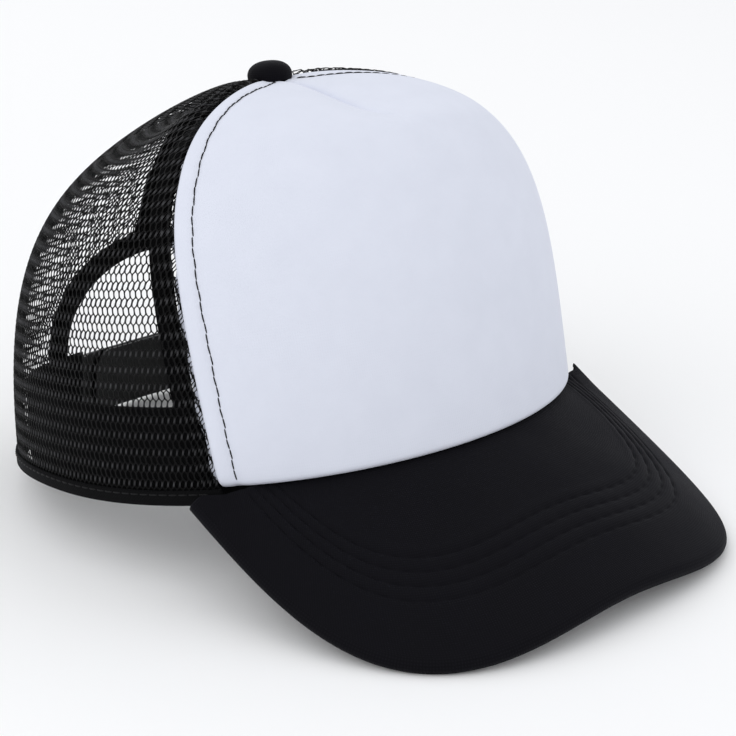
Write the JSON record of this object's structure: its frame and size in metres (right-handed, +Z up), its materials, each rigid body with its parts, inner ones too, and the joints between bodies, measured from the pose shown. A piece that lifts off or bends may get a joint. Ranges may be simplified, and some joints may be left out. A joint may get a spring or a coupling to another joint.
{
  "type": "trucker mesh cap",
  "caption": "Trucker cap with a foam-backed white front panel, black mesh sides and back, a curved padded brim with rows of stitching, a top button and a snap strap over a rear opening.",
  "frame": {"origin": "centre of the cap's footprint on the surface it rests on", "axes": "+Z up, brim pointing to -Y, +X to the wearer's left; the cap rests on its brim's lower edges and its back hem"},
  "size_m": [0.1916, 0.2392, 0.1418],
  "materials": {
    "white_polyester": "smooth matte knit face over foam",
    "foam": "black-backed open foam",
    "mesh_net": "knitted nylon net",
    "black_cloth": "matte woven cotton blend",
    "seam_tape": "woven tape",
    "thread": "twisted sewing thread",
    "strap_plastic": "semi-gloss moulded",
    "board_plastic": "matte",
    "plated_steel": "bright plated"
  },
  "bodies": {
    "cap": {"arch_binding": "black_cloth", "bartack_left": "thread", "bartack_right": "thread", "brim_board": "board_plastic", "brim_stitch_row_1": "thread", "brim_stitch_row_2": "thread", "brim_stitch_row_3": "thread", "brim_stitch_row_4": "thread", "brim_top_cover": "black_cloth", "brim_under_cover": "black_cloth", "button_back": "plated_steel", "button_shell": "black_cloth", "center_back_tape": "seam_tape", "dart_tape": "seam_tape", "front_panel_cover": "white_polyester", "front_panel_foam": "foam", "front_seam_tape_left": "seam_tape", "front_seam_tape_right": "seam_tape", "front_topstitch_left": "thread", "front_topstitch_right": "thread", "hem_left": "black_cloth", "hem_right": "black_cloth", "hole_strap_tab": "strap_plastic", "peg_strap_tab": "strap_plastic", "rear_mesh_left": "mesh_net", "rear_mesh_right": "mesh_net", "rear_seam_tape_left": "seam_tape", "rear_seam_tape_right": "seam_tape", "side_mesh_left": "mesh_net", "side_mesh_right": "mesh_net", "sweatband": "black_cloth"},
    "left_strap": {"peg_strap": "strap_plastic"},
    "right_strap": {"hole_strap": "strap_plastic"}
  },
  "joints": [
    {"name": "left_strap_swing", "type": "hinge", "parent": "cap", "child": "left_strap", "pos_m": [0.02899, 0.11173, 0.01451], "axis": [-0.0447, -0.0243, 0.9987], "range_deg": [0, 60]},
    {"name": "right_strap_swing", "type": "hinge", "parent": "cap", "child": "right_strap", "pos_m": [-0.02899, 0.11173, 0.01451], "axis": [0.0447, -0.0243, 0.9987], "range_deg": [0, 60]}
  ]
}
